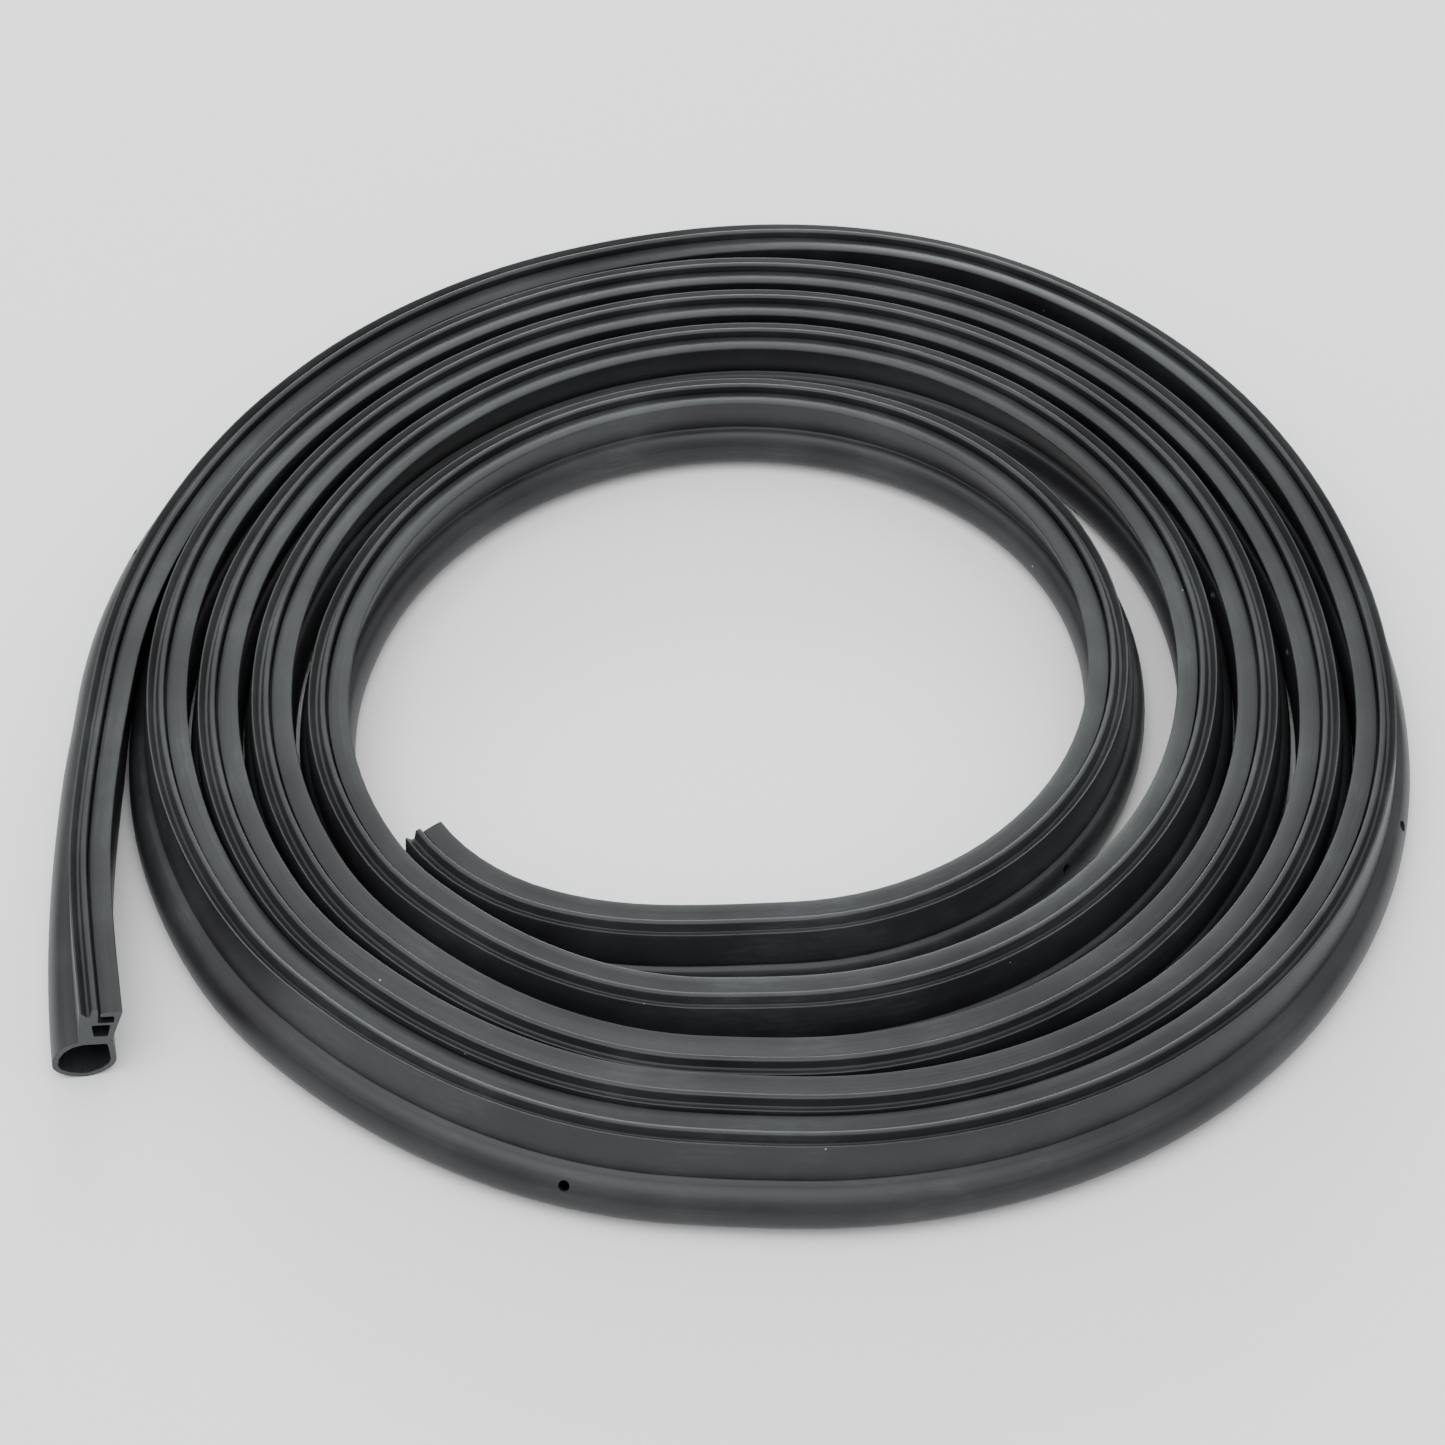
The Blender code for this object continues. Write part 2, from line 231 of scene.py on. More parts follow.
@dataclass(frozen=True)
class ExtrudedRubber:
    """Sulphur-cured EPDM rubber, extruded through a die and cured in hot air.

    To the eye that is a deep charcoal with a broad soft sheen rather than a gloss, faint die
    streaks that run with the strip, a cloudy bloom, some rubbed places and a few specks of dust.
    Its streaks and pores are drawn coarser than the real ones, so that they show. A range holds
    the pattern values between which the bloom, the scuffs or the roughness grows.
    """

    name: str = "extruded_epdm_rubber"
    deep_hex: str = "#18171a"
    bloom_hex: str = "#303234"
    speck_hex: str = "#8d9190"
    roughness_low: float = 0.36
    roughness_high: float = 0.50
    ior: float = 1.40
    streak_width: float = 0.45 * MM
    streak_length: float = 140.0 * MM
    streak_height: float = 0.012 * MM
    streak_share: float = 0.45
    cloud_size: float = 38.0 * MM
    bloom_range: tuple[float, float] = (0.45, 1.05)
    roughness_range: tuple[float, float] = (0.4, 1.1)
    pore_size: float = 0.5 * MM
    pore_height: float = 0.008 * MM
    scuff_hex: str = "#575a5c"
    scuff_width: float = 1.4 * MM
    scuff_length: float = 9.0 * MM
    scuff_range: tuple[float, float] = (0.28, 0.45)
    scuff_strength: float = 0.16
    speck_spacing: float = 20.0 * MM
    speck_radius: float = 0.3 * MM

    def material(self) -> bpy.types.Material:
        """Build the finish on the strip's own map: girth across, length along.

        Returns:
            The material.
        """
        material, tree = blank_material(self.name)
        strip_map = add_node(tree, "ShaderNodeUVMap", {"uv_map": "strip_map"}, {}).outputs[0]
        place = add_node(tree, "ShaderNodeTexCoord", {}, {}).outputs["Object"]
        stretched = add_node(tree, "ShaderNodeMapping", {}, {
            "Vector": strip_map,
            "Scale": (1.0 / self.streak_width, 1.0 / self.streak_length, 1.0),
        }).outputs[0]
        streaks = add_node(tree, "ShaderNodeTexNoise", {"noise_dimensions": "2D"}, {
            "Vector": stretched, "Scale": 1.0, "Detail": 3.0, "Roughness": 0.6,
        }).outputs["Fac"]
        cloud = add_node(tree, "ShaderNodeTexNoise", {}, {
            "Vector": place, "Scale": 1.0 / self.cloud_size, "Detail": 4.0, "Roughness": 0.55,
        }).outputs["Fac"]
        pores = add_node(tree, "ShaderNodeTexNoise", {}, {
            "Vector": place, "Scale": 1.0 / self.pore_size, "Detail": 2.0,
        }).outputs["Fac"]
        mottle = add_node(tree, "ShaderNodeMath", {"operation": "MULTIPLY_ADD"}, {
            0: streaks, 1: self.streak_share, 2: cloud,
        }).outputs[0]
        bloom = add_node(tree, "ShaderNodeMapRange", {}, {
            "Value": mottle, "From Min": self.bloom_range[0], "From Max": self.bloom_range[1],
        }).outputs[0]
        body = add_node(tree, "ShaderNodeMix", {"data_type": "RGBA"}, {
            0: bloom, 6: linear_colour(self.deep_hex), 7: linear_colour(self.bloom_hex),
        }).outputs[2]
        rubbed = add_node(tree, "ShaderNodeMapping", {}, {
            "Vector": strip_map,
            "Scale": (1.0 / self.scuff_width, 1.0 / self.scuff_length, 1.0),
        }).outputs[0]
        rubs = add_node(tree, "ShaderNodeTexNoise", {"noise_dimensions": "2D"}, {
            "Vector": rubbed, "Scale": 1.0, "Detail": 6.0, "Roughness": 0.7,
        }).outputs["Fac"]
        rubs = add_node(tree, "ShaderNodeMath", {"operation": "MULTIPLY"}, {0: rubs, 1: cloud}).outputs[0]
        scuffs = add_node(tree, "ShaderNodeMapRange", {}, {
            "Value": rubs, "From Min": self.scuff_range[0], "From Max": self.scuff_range[1],
            "To Max": self.scuff_strength,
        }).outputs[0]
        body = add_node(tree, "ShaderNodeMix", {"data_type": "RGBA"}, {
            0: scuffs, 6: body, 7: linear_colour(self.scuff_hex),
        }).outputs[2]
        cell = add_node(tree, "ShaderNodeTexVoronoi", {}, {
            "Vector": place, "Scale": 1.0 / self.speck_spacing, "Randomness": 1.0,
        }).outputs["Distance"]
        speck = add_node(tree, "ShaderNodeMath", {"operation": "LESS_THAN"}, {
            0: cell, 1: self.speck_radius / self.speck_spacing,
        }).outputs[0]
        colour = add_node(tree, "ShaderNodeMix", {"data_type": "RGBA"}, {
            0: speck, 6: body, 7: linear_colour(self.speck_hex),
        }).outputs[2]
        roughness = add_node(tree, "ShaderNodeMapRange", {}, {
            "Value": mottle, "From Min": self.roughness_range[0], "From Max": self.roughness_range[1],
            "To Min": self.roughness_low, "To Max": self.roughness_high,
        }).outputs[0]
        fine = add_node(tree, "ShaderNodeBump", {}, {
            "Height": pores, "Distance": self.pore_height, "Strength": 1.0,
        }).outputs[0]
        relief = add_node(tree, "ShaderNodeBump", {}, {
            "Height": streaks, "Distance": self.streak_height, "Strength": 1.0, "Normal": fine,
        }).outputs[0]
        shader = add_node(tree, "ShaderNodeBsdfPrincipled", {}, {
            "Base Color": colour, "Roughness": roughness, "Normal": relief, "IOR": self.ior,
        }).outputs[0]
        add_node(tree, "ShaderNodeOutputMaterial", {}, {"Surface": shader})
        return material


@dataclass(frozen=True)
class KnifeCutRubber:
    """The same rubber where a knife parted it.

    A cut face is matt and a shade greyer than the die skin, with fine drag marks of the blade.
    """

    name: str = "knife_cut_epdm_rubber"
    deep_hex: str = "#292c2e"
    drag_hex: str = "#484c4e"
    roughness: float = 0.72
    drag_width: float = 0.35 * MM
    drag_stretch: float = 4.0
    drag_height: float = 0.03 * MM

    def material(self) -> bpy.types.Material:
        """Build the finish on Object coordinates.

        Returns:
            The material.
        """
        material, tree = blank_material(self.name)
        place = add_node(tree, "ShaderNodeTexCoord", {}, {}).outputs["Object"]
        level = 1.0 / self.drag_stretch
        flattened = add_node(tree, "ShaderNodeMapping", {}, {
            "Vector": place, "Scale": (level, level, 1.0),
        }).outputs[0]
        drag = add_node(tree, "ShaderNodeTexNoise", {}, {
            "Vector": flattened, "Scale": 1.0 / self.drag_width, "Detail": 3.0,
        }).outputs["Fac"]
        colour = add_node(tree, "ShaderNodeMix", {"data_type": "RGBA"}, {
            0: drag, 6: linear_colour(self.deep_hex), 7: linear_colour(self.drag_hex),
        }).outputs[2]
        relief = add_node(tree, "ShaderNodeBump", {}, {
            "Height": drag, "Distance": self.drag_height, "Strength": 1.0,
        }).outputs[0]
        shader = add_node(tree, "ShaderNodeBsdfPrincipled", {}, {
            "Base Color": colour, "Roughness": self.roughness, "Normal": relief,
        }).outputs[0]
        add_node(tree, "ShaderNodeOutputMaterial", {}, {"Surface": shader})
        return material


@dataclass(frozen=True)
class SweepPaper:
    """Seamless white background paper: matt and near white."""

    name: str = "seamless_paper"
    light_hex: str = "#f4f4f3"
    roughness: float = 0.9
    fibre_size: float = 3.0 * MM
    fibre_shade_hex: str = "#efefee"

    def material(self) -> bpy.types.Material:
        """Build the finish on Object coordinates.

        Returns:
            The material.
        """
        material, tree = blank_material(self.name)
        place = add_node(tree, "ShaderNodeTexCoord", {}, {}).outputs["Object"]
        fibre = add_node(tree, "ShaderNodeTexNoise", {}, {
            "Vector": place, "Scale": 1.0 / self.fibre_size,
        }).outputs["Fac"]
        colour = add_node(tree, "ShaderNodeMix", {"data_type": "RGBA"}, {
            0: fibre, 6: linear_colour(self.light_hex), 7: linear_colour(self.fibre_shade_hex),
        }).outputs[2]
        shader = add_node(tree, "ShaderNodeBsdfPrincipled", {}, {
            "Base Color": colour, "Roughness": self.roughness,
        }).outputs[0]
        add_node(tree, "ShaderNodeOutputMaterial", {}, {"Surface": shader})
        return material


@dataclass(frozen=True)
class StripSection:
    """The strip's cross-section: the hollow bulb, and the slotted carrier that stands on it."""

    bulb_width_free: float = 18.0 * MM
    bulb_width_pressed: float = 15.2 * MM
    bulb_height: float = 14.5 * MM
    belly_height: float = 6.5 * MM
    keel: float = 0.8 * MM
    bulb_wall: float = 1.6 * MM
    neck_width: float = 9.8 * MM
    neck_follow: float = 0.6
    neck_ledge: float = 0.5 * MM
    neck_ledge_rise: float = 0.9 * MM
    carrier_width: float = 12.0 * MM
    carrier_set_in: float = 1.6 * MM
    carrier_height: float = 13.3 * MM
    corner_radius: float = 0.5 * MM
    channel_wall: float = 2.4 * MM
    channel_floor: float = 8.4 * MM
    channel_height: float = 2.7 * MM
    lip_width: float = 6.2 * MM
    lip_drop: float = 0.9 * MM
    lip_crown: float = 0.18 * MM
    mouth_width: float = 0.7 * MM
    rib_width: float = 1.7 * MM
    rib_rise: float = 1.0 * MM
    valley_slope: float = 0.5 * MM
    valley_floor: float = 0.9 * MM
    valley_depth: float = 2.0 * MM
    rim_width: float = 0.45 * MM
    rim_drop: float = 0.35 * MM
    chamber_width: float = 5.4 * MM
    chamber_floor: float = 2.6 * MM
    chamber_roof: float = 0.9 * MM
    chamber_taper: float = 0.8 * MM
    chamber_radius: float = 0.5 * MM
    lower_steps: int = 7
    upper_steps: int = 8
    corner_steps: int = 3
    map_stance: Stance = Stance(8.0, -3.0 * MM)

    def lean_point(self, u: float, v: float, stance: Stance) -> tuple[float, float]:
        """Lean a point of the carrier over with it.

        Args:
            u: Distance outward from the neck's middle.
            v: Height above the neck.
            stance: How the carrier stands.

        Returns:
            Distance outward from the bulb's middle and height above the floor.
        """
        a = math.radians(stance.lean)
        x = stance.neck_x + u * math.cos(a) - v * math.sin(a)
        return x, self.bulb_height + u * math.sin(a) + v * math.cos(a)

    def place(self, point: SectionPoint, stance: Stance, half_width: float) -> tuple[float, float]:
        """Where a section point lies once the carrier leans and the bulb is pressed."""
        x, z = self.lean_point(point.u, point.v, stance)
        across = point.fixed_x + point.by_width * half_width + point.by_neck_x * x
        return across, point.fixed_z + point.by_neck_z * z

    def carrier_points(self, corners: list[tuple[float, float, float]]) -> list[SectionPoint]:
        """Round the corners of an open run of carrier points.

        Args:
            corners: Distance outward, height above the neck and corner radius of each point.

        Returns:
            Section points that follow the carrier alone.
        """
        places = [Vector((u, v)) for u, v, _ in corners]
        rounded = [places[0]]
        for i in range(1, len(corners) - 1):
            rounded += arc_corner(places[i - 1], places[i], places[i + 1], corners[i][2], self.corner_steps)
        rounded.append(places[-1])
        return [SectionPoint(0.0, 0.0, 1.0, 0.0, 1.0, p.x, p.y) for p in rounded]

    def carrier(self) -> list[SectionPoint]:
        """The carrier from the outer end of its neck, over its top, to the inner end."""
        soft, crisp = self.corner_radius, self.corner_radius / 2.0
        neck = self.neck_width / 2.0
        outer = self.carrier_width / 2.0 - self.carrier_set_in
        inner = outer - self.carrier_width
        mouth_in = inner + self.lip_width
        mouth_out = mouth_in + self.mouth_width
        rib_out = mouth_out + self.rib_width
        valley_in = rib_out + self.valley_slope
        valley_out = valley_in + self.valley_floor
        valley, rim = self.carrier_height - self.valley_depth, self.carrier_height - self.rim_drop
        slot_in = inner + self.channel_wall
        slot_top = self.channel_floor + self.channel_height
        top = self.carrier_height
        lip_edge = top - self.lip_drop
        lip_middle = (inner + mouth_in) / 2.0, (top + lip_edge) / 2.0 + self.lip_crown
        rise = self.neck_ledge_rise
        return self.carrier_points([
            (neck, 0.0, 0.0),
            (neck - self.neck_ledge, rise / 2.0, crisp),
            (neck - self.neck_ledge / 4.0, rise, crisp),
            (outer, rim, crisp / 2.0),
            (outer - self.rim_width, rim, crisp / 2.0),
            (valley_out, valley, soft),
            (valley_in, valley, crisp),
            (rib_out, top + self.rib_rise, soft),
            (mouth_out, top + self.rib_rise, soft),
            (mouth_out, self.channel_floor, 0.0),
            (slot_in, self.channel_floor, soft),
            (slot_in, slot_top, soft),
            (mouth_in, slot_top, 0.0),
            (mouth_in, lip_edge, crisp),
            (*lip_middle, 0.0),
            (inner, top, soft),
            (-neck + self.neck_ledge / 4.0, rise, crisp),
            (-neck + self.neck_ledge, rise / 2.0, crisp),
            (-neck, 0.0, 0.0),
        ])

    def bulb_side(self, flank: Flank, wall: float, neck: tuple[float, float]) -> list[SectionPoint]:
        """One side of the bulb, from beside the keel up to beside the neck.

        Args:
            flank: Which side.
            wall: How far inside the outline it runs.
            neck: The carrier's point that the side runs up to.

        Returns:
            The side's points, both ends left out.
        """
        side, belly = flank.value, self.belly_height
        points = []
        for i in range(1, self.lower_steps):
            a = math.radians(90.0 * (1.0 - i / self.lower_steps))
            share = side * math.cos(a)
            height = (belly - wall - self.keel) * (1.0 - math.sin(a)) + self.keel * math.cos(a) + wall
            points.append(SectionPoint(-share * wall, share, 0.0, height, 0.0, 0.0, 0.0))
        for i in range(self.upper_steps):
            a = math.radians(90.0 * (1.0 - i / self.upper_steps))
            out, up = math.sin(a), math.cos(a)
            width, base = side * out, belly * (1.0 - up)
            points.append(SectionPoint(-width * wall, width, 1.0 - out, base, up, *neck))
        return points

    def rings(self) -> dict[Ring, list[SectionPoint]]:
        """All closed outlines of the section.

        Returns:
            For each outline its points in order.
        """
        carrier = self.carrier()
        half_neck = self.neck_width / 2.0
        outer = self.bulb_side(Flank.OUTER, 0.0, (half_neck, 0.0))
        inner = self.bulb_side(Flank.INNER, 0.0, (-half_neck, 0.0))
        outline = [SectionPoint(0.0, 0.0, 0.0, 0.0, 0.0, 0.0, 0.0)] + outer + carrier + inner[::-1]
        wall = self.bulb_wall
        half_ceiling = half_neck - wall
        drop = -wall / 2.0
        bore_outer = self.bulb_side(Flank.OUTER, wall, (half_ceiling, drop))[::2]
        bore_inner = self.bulb_side(Flank.INNER, wall, (-half_ceiling, drop))[::2]
        ceiling = [SectionPoint(0.0, 0.0, 1.0, 0.0, 1.0, u, drop) for u in (half_ceiling, -half_ceiling)]
        bore = [SectionPoint(0.0, 0.0, 0.0, wall, 0.0, 0.0, 0.0)] + bore_outer + ceiling + bore_inner[::-1]
        return {Ring.OUTLINE: outline, Ring.BORE: bore, Ring.CHAMBER: self.chamber()}

    def chamber(self) -> list[SectionPoint]:
        """The closed chamber between the channel and the bulb."""
        middle, half = -self.carrier_set_in, self.chamber_width / 2.0
        low, top = self.chamber_floor, self.channel_floor - self.chamber_roof
        low_half, turn = half - self.chamber_taper, self.chamber_radius
        floor_middle = (middle, low, 0.0)
        return self.carrier_points([
            floor_middle,
            (middle + low_half, low, turn),
            (middle + half, top, turn),
            (middle - half, top, turn),
            (middle - low_half, low, turn),
            floor_middle,
        ])[:-1]

    def shoulder(self, stance: Stance, half_width: float, rise: float) -> tuple[Vector, Vector]:
        """A place on the outer shoulder of the bulb and the way out of the rubber there.

        Args:
            stance: How the carrier stands.
            half_width: Half the bulb's width.
            rise: Degrees above the belly, from 0 to 90 at the neck.

        Returns:
            The place and the outward direction, both in the plane of the section.
        """
        neck_x, neck_z = self.lean_point(self.neck_width / 2.0, 0.0, stance)
        a = math.radians(90.0 - rise)
        reach, climb = half_width - neck_x, neck_z - self.belly_height
        place = Vector((neck_x + reach * math.sin(a), self.belly_height + climb * math.cos(a)))
        return place, Vector((climb * math.sin(a), reach * math.cos(a))).normalized()


@dataclass(frozen=True)
class CoilRoute:
    """The way the strip lies. A run is an angle along it from its inner end, in degrees."""

    end: float = 1801.5
    start_bearing: float = 212.9
    eye_radius: float = 100.0 * MM
    turn_gap: float = 0.5 * MM
    end_flare: Lobe = Lobe(0.0, 58.0, 20.6 * MM)
    climb_start: float = 141.0
    eye_oval: float = 1.5 * MM
    oval_bearing: float = 46.0
    tail_spread: float = 32.0 * MM
    tail_span: float = 34.0
    first_gap: float = 11.3 * MM
    first_gap_opens: tuple[float, float] = (369.0, 407.0)
    first_gap_closes: tuple[float, float] = (572.0, 727.0)
    slack_lobes: tuple[Lobe, ...] = (
        Lobe(818.0, 73.0, 3.9 * MM),
        Lobe(1188.0, 66.0, 4.6 * MM),
        Lobe(1488.0, 144.0, 3.7 * MM),
        Lobe(1707.0, 162.0, 2.2 * MM),
    )
    stops: tuple[Stop, ...] = (
        Stop(0.0, 1.0, -2.0 * MM),
        Stop(60.0, 3.0, -1.0 * MM),
        Stop(150.0, 10.0, -2.0 * MM),
        Stop(240.0, 1.0, -1.0 * MM),
        Stop(330.0, 4.0, -1.5 * MM),
        Stop(420.0, 4.0, -1.0 * MM),
        Stop(510.0, 12.0, -2.0 * MM),
        Stop(600.0, 2.0, -1.0 * MM),
        Stop(690.0, 4.0, -1.0 * MM),
        Stop(775.0, -7.0, -2.0 * MM),
        Stop(870.0, 9.0, -1.5 * MM),
        Stop(960.0, 2.0, -1.0 * MM),
        Stop(1050.0, 4.0, -1.0 * MM),
        Stop(1140.0, -2.0, -0.5 * MM),
        Stop(1230.0, 9.0, -1.5 * MM),
        Stop(1320.0, 2.0, -0.5 * MM),
        Stop(1385.0, 2.0, 0.0 * MM),
        Stop(1450.0, 13.0, 1.5 * MM),
        Stop(1505.0, 8.0, 2.7 * MM),
        Stop(1590.0, 3.0, 1.0 * MM),
        Stop(1655.0, -2.0, -0.5 * MM),
        Stop(1700.0, 9.0, 1.5 * MM),
        Stop(1745.0, 12.0, 1.5 * MM),
        Stop(1785.0, 2.0, 2.0 * MM),
        Stop(end, 7.0, 2.7 * MM),
    )
    station_step: float = 6.5 * MM
    ruler_step: float = 0.5

    def slack(self, run: float) -> float:
        """How far the strip stands off the turn inside it, beyond touching."""
        opens, closes = self.first_gap_opens, self.first_gap_closes
        opening = smooth_step((run - opens[0]) / (opens[1] - opens[0]))
        closing = smooth_step((run - closes[0]) / (closes[1] - closes[0]))
        gap = self.first_gap * opening * (1.0 - closing)
        gap += sum(smooth_bump(run, lobe) for lobe in self.slack_lobes)
        tail = max(0.0, (run - self.end + self.tail_span) / self.tail_span)
        return gap + self.tail_spread * tail ** 2

    def radius(self, run: float, pitch: float) -> float:
        """Distance of the bulb's middle from the coil's middle.

        Args:
            run: Place along the strip.
            pitch: Distance between neighbouring turns that touch.

        Returns:
            The radius.
        """
        bearing = math.radians(self.start_bearing + run - self.oval_bearing)
        radius = self.eye_radius + self.eye_oval * math.cos(2.0 * bearing)
        while run >= TURN:
            radius += pitch + self.slack(run)
            run -= TURN
        climb = smooth_step((run - self.climb_start) / (TURN - self.climb_start))
        return radius + smooth_bump(run, self.end_flare) + (pitch + self.end_flare.amount) * climb

    def point(self, run: float, pitch: float) -> Vector:
        """The bulb's middle on the floor."""
        bearing, radius = math.radians(self.start_bearing + run), self.radius(run, pitch)
        return Vector((radius * math.cos(bearing), radius * math.sin(bearing), 0.0))

    def outward(self, run: float, pitch: float) -> Vector:
        """The level direction square to the strip, away from the coil's middle."""
        before, after = max(run - self.ruler_step, 0.0), min(run + self.ruler_step, self.end)
        ahead = self.point(after, pitch) - self.point(before, pitch)
        return Vector((ahead.y, -ahead.x, 0.0)).normalized()

    def stance(self, run: float, section: StripSection) -> Stance:
        """How the carrier stands. The soft bulb gives way, so the neck follows part of the lean."""
        i = min(bisect.bisect_right(self.stops, run, key=lambda stop: stop.run), len(self.stops) - 1)
        near, far = self.stops[i - 1], self.stops[i]
        ease = smooth_step((run - near.run) / (far.run - near.run))
        lean = near.lean + (far.lean - near.lean) * ease
        set_in = near.set_in + (far.set_in - near.set_in) * ease
        follow = section.neck_follow * section.bulb_height * math.sin(math.radians(lean))
        return Stance(lean, -set_in - follow)

    def half_width(self, run: float, section: StripSection) -> float:
        """Half the bulb's width: pressed by the turns beside it, and fuller where both leave room."""
        room = [self.slack(at) for at in (run, run + TURN) if TURN <= at <= self.end]
        return min([section.bulb_width_free] + [section.bulb_width_pressed + gap for gap in room]) / 2.0

    def ruler(self, pitch: float) -> tuple[list[float], list[float]]:
        """Runs at a fine even step, and the length of strip up to each of them."""
        count = round(self.end / self.ruler_step)
        runs = [self.end * i / count for i in range(count + 1)]
        lengths = [0.0]
        for near, far in zip(runs, runs[1:]):
            lengths.append(lengths[-1] + (self.point(far, pitch) - self.point(near, pitch)).length)
        return runs, lengths


@dataclass
class Weatherstrip:
    """The whole strip: its section swept along its route, vented, cut at both ends and finished."""

    section: StripSection = field(default_factory=StripSection)
    route: CoilRoute = field(default_factory=CoilRoute)
    skin: ExtrudedRubber = field(default_factory=ExtrudedRubber)
    cut: KnifeCutRubber = field(default_factory=KnifeCutRubber)
    vent_diameter: float = 3.2 * MM
    vent_spacing: float = 294.0 * MM
    vent_first: float = 200.5 * MM
    vent_rise: float = 42.0
    vent_overcut: float = 1.2 * MM
    vent_sides: int = 20
    waver_height: float = 0.1 * MM
    waver_length: float = 24.0 * MM
    sharp_angle: float = 35.0
    path_points: int = 200

    def __post_init__(self) -> None:
        """Measure the route once."""
        self.pitch = self.section.bulb_width_pressed + self.route.turn_gap
        self.runs, self.lengths = self.route.ruler(self.pitch)

    def run_at(self, along: float) -> float:
        """The run that lies a given length of strip from the inner end."""
        i = min(bisect.bisect_right(self.lengths, along), len(self.lengths) - 1)
        share = (along - self.lengths[i - 1]) / (self.lengths[i] - self.lengths[i - 1])
        return self.runs[i - 1] + share * (self.runs[i] - self.runs[i - 1])

    def attribute_mesh(self, name: str, places: list[Vector], edges: list[tuple[int, int]],
                       values: dict[str, list[Any]]) -> bpy.types.Object:
        """Make an object of points and edges that carries named values on its points.

        Args:
            name: The object's name.
            places: Where the points lie.
            edges: Pairs of point numbers.
            values: For each attribute its value at every point, numbers or triples.

        Returns:
            The object.
        """
        mesh = bpy.data.meshes.new(name)
        mesh.from_pydata(places, edges, [])
        for label, row in values.items():
            is_triple = not isinstance(row[0], float)
            attribute = mesh.attributes.new(label, "FLOAT_VECTOR" if is_triple else "FLOAT", "POINT")
            if is_triple:
                attribute.data.foreach_set("vector", [x for triple in row for x in triple])
            else:
                attribute.data.foreach_set("value", row)
        guide = bpy.data.objects.new(name, mesh)
        bpy.context.scene.collection.objects.link(guide)
        return guide

    def route_guide(self) -> bpy.types.Object:
        """The line that the strip follows, with its lean, width and length at each station."""
        count = round(self.lengths[-1] / self.route.station_step)
        alongs = [self.lengths[-1] * i / count for i in range(count + 1)]
        runs = [self.run_at(along) for along in alongs]
        stances = [self.route.stance(run, self.section) for run in runs]
        return self.attribute_mesh(
            "route_guide",
            [self.route.point(run, self.pitch) for run in runs],
            [(i, i + 1) for i in range(count)],
            {
                "lean": [math.radians(stance.lean) for stance in stances],
                "neck_shift": [stance.neck_x for stance in stances],
                "half_width": [self.route.half_width(run, self.section) for run in runs],
                "along": alongs,
                "outward": [self.route.outward(run, self.pitch) for run in runs],
            },
        )

    def section_guide(self) -> bpy.types.Object:
        """The section's outlines as closed loops, with what each point needs to follow the strip."""
        places, edges, fixed, shares, carrier, girths = [], [], [], [], [], []
        for points in self.section.rings().values():
            first, girth = len(places), 0.0
            for point in points:
                half = self.section.bulb_width_pressed / 2.0
                x, z = self.section.place(point, self.section.map_stance, half)
                here = Vector((x, z, 0.0))
                if len(places) > first:
                    girth += (here - places[-1]).length
                places.append(here)
                fixed.append((point.fixed_x, point.fixed_z, 0.0))
                shares.append((point.by_width, point.by_neck_x, point.by_neck_z))
                carrier.append((point.u, point.v, 0.0))
                girths.append(girth)
            last = len(places) - 1
            edges += [(i, i + 1) for i in range(first, last)] + [(last, first)]
        values = {"fixed": fixed, "shares": shares, "carrier": carrier, "girth": girths}
        return self.attribute_mesh("section_guide", places, edges, values)

    def sweep_tree(self) -> bpy.types.NodeTree:
        """The tree that sweeps the section along the route.

        Returns:
            A Geometry Nodes tree with named inputs for the section guide, sizes and finish.
        """
        tree = bpy.data.node_groups.new("sweep_strip", "GeometryNodeTree")
        for label, kind in (
            ("Geometry", "NodeSocketGeometry"),
            ("Section", "NodeSocketObject"),
            ("Bulb height", "NodeSocketFloat"),
            ("Waver height", "NodeSocketFloat"),
            ("Waver length", "NodeSocketFloat"),
            ("Finish", "NodeSocketMaterial"),
        ):
            tree.interface.new_socket(label, in_out="INPUT", socket_type=kind)
        tree.interface.new_socket("Geometry", in_out="OUTPUT", socket_type="NodeSocketGeometry")
        given = add_node(tree, "NodeGroupInput", {}, {}).outputs
        line = add_node(tree, "GeometryNodeMeshToCurve", {}, {"Mesh": given["Geometry"]}).outputs[0]
        foot = add_node(tree, "GeometryNodeInputPosition", {}, {}).outputs[0]
        line = add_node(tree, "GeometryNodeStoreNamedAttribute", {
            "data_type": "FLOAT_VECTOR", "domain": "POINT",
        }, {"Geometry": line, "Name": "foot", "Value": foot}).outputs[0]
        section = add_node(tree, "GeometryNodeObjectInfo", {}, {"Object": given["Section"]}).outputs
        loops = add_node(tree, "GeometryNodeMeshToCurve", {}, {"Mesh": section["Geometry"]}).outputs[0]
        skin = add_node(tree, "GeometryNodeCurveToMesh", {}, {
            "Curve": line, "Profile Curve": loops,
        }).outputs[0]
        values = {"Bulb height": given["Bulb height"]}
        for label in ("lean", "neck_shift", "half_width", "along", "girth"):
            values[label] = add_node(tree, "GeometryNodeInputNamedAttribute", {"data_type": "FLOAT"}, {
                "Name": label,
            }).outputs["Attribute"]
        for label, parts in (
            ("fixed", ("fixed_x", "fixed_z")),
            ("shares", ("by_width", "by_neck_x", "by_neck_z")),
            ("carrier", ("u", "v")),
        ):
            triple = add_node(tree, "GeometryNodeInputNamedAttribute", {"data_type": "FLOAT_VECTOR"}, {
                "Name": label,
            }).outputs["Attribute"]
            split = add_node(tree, "ShaderNodeSeparateXYZ", {}, {0: triple}).outputs
            values.update({part: split[i] for i, part in enumerate(parts)})
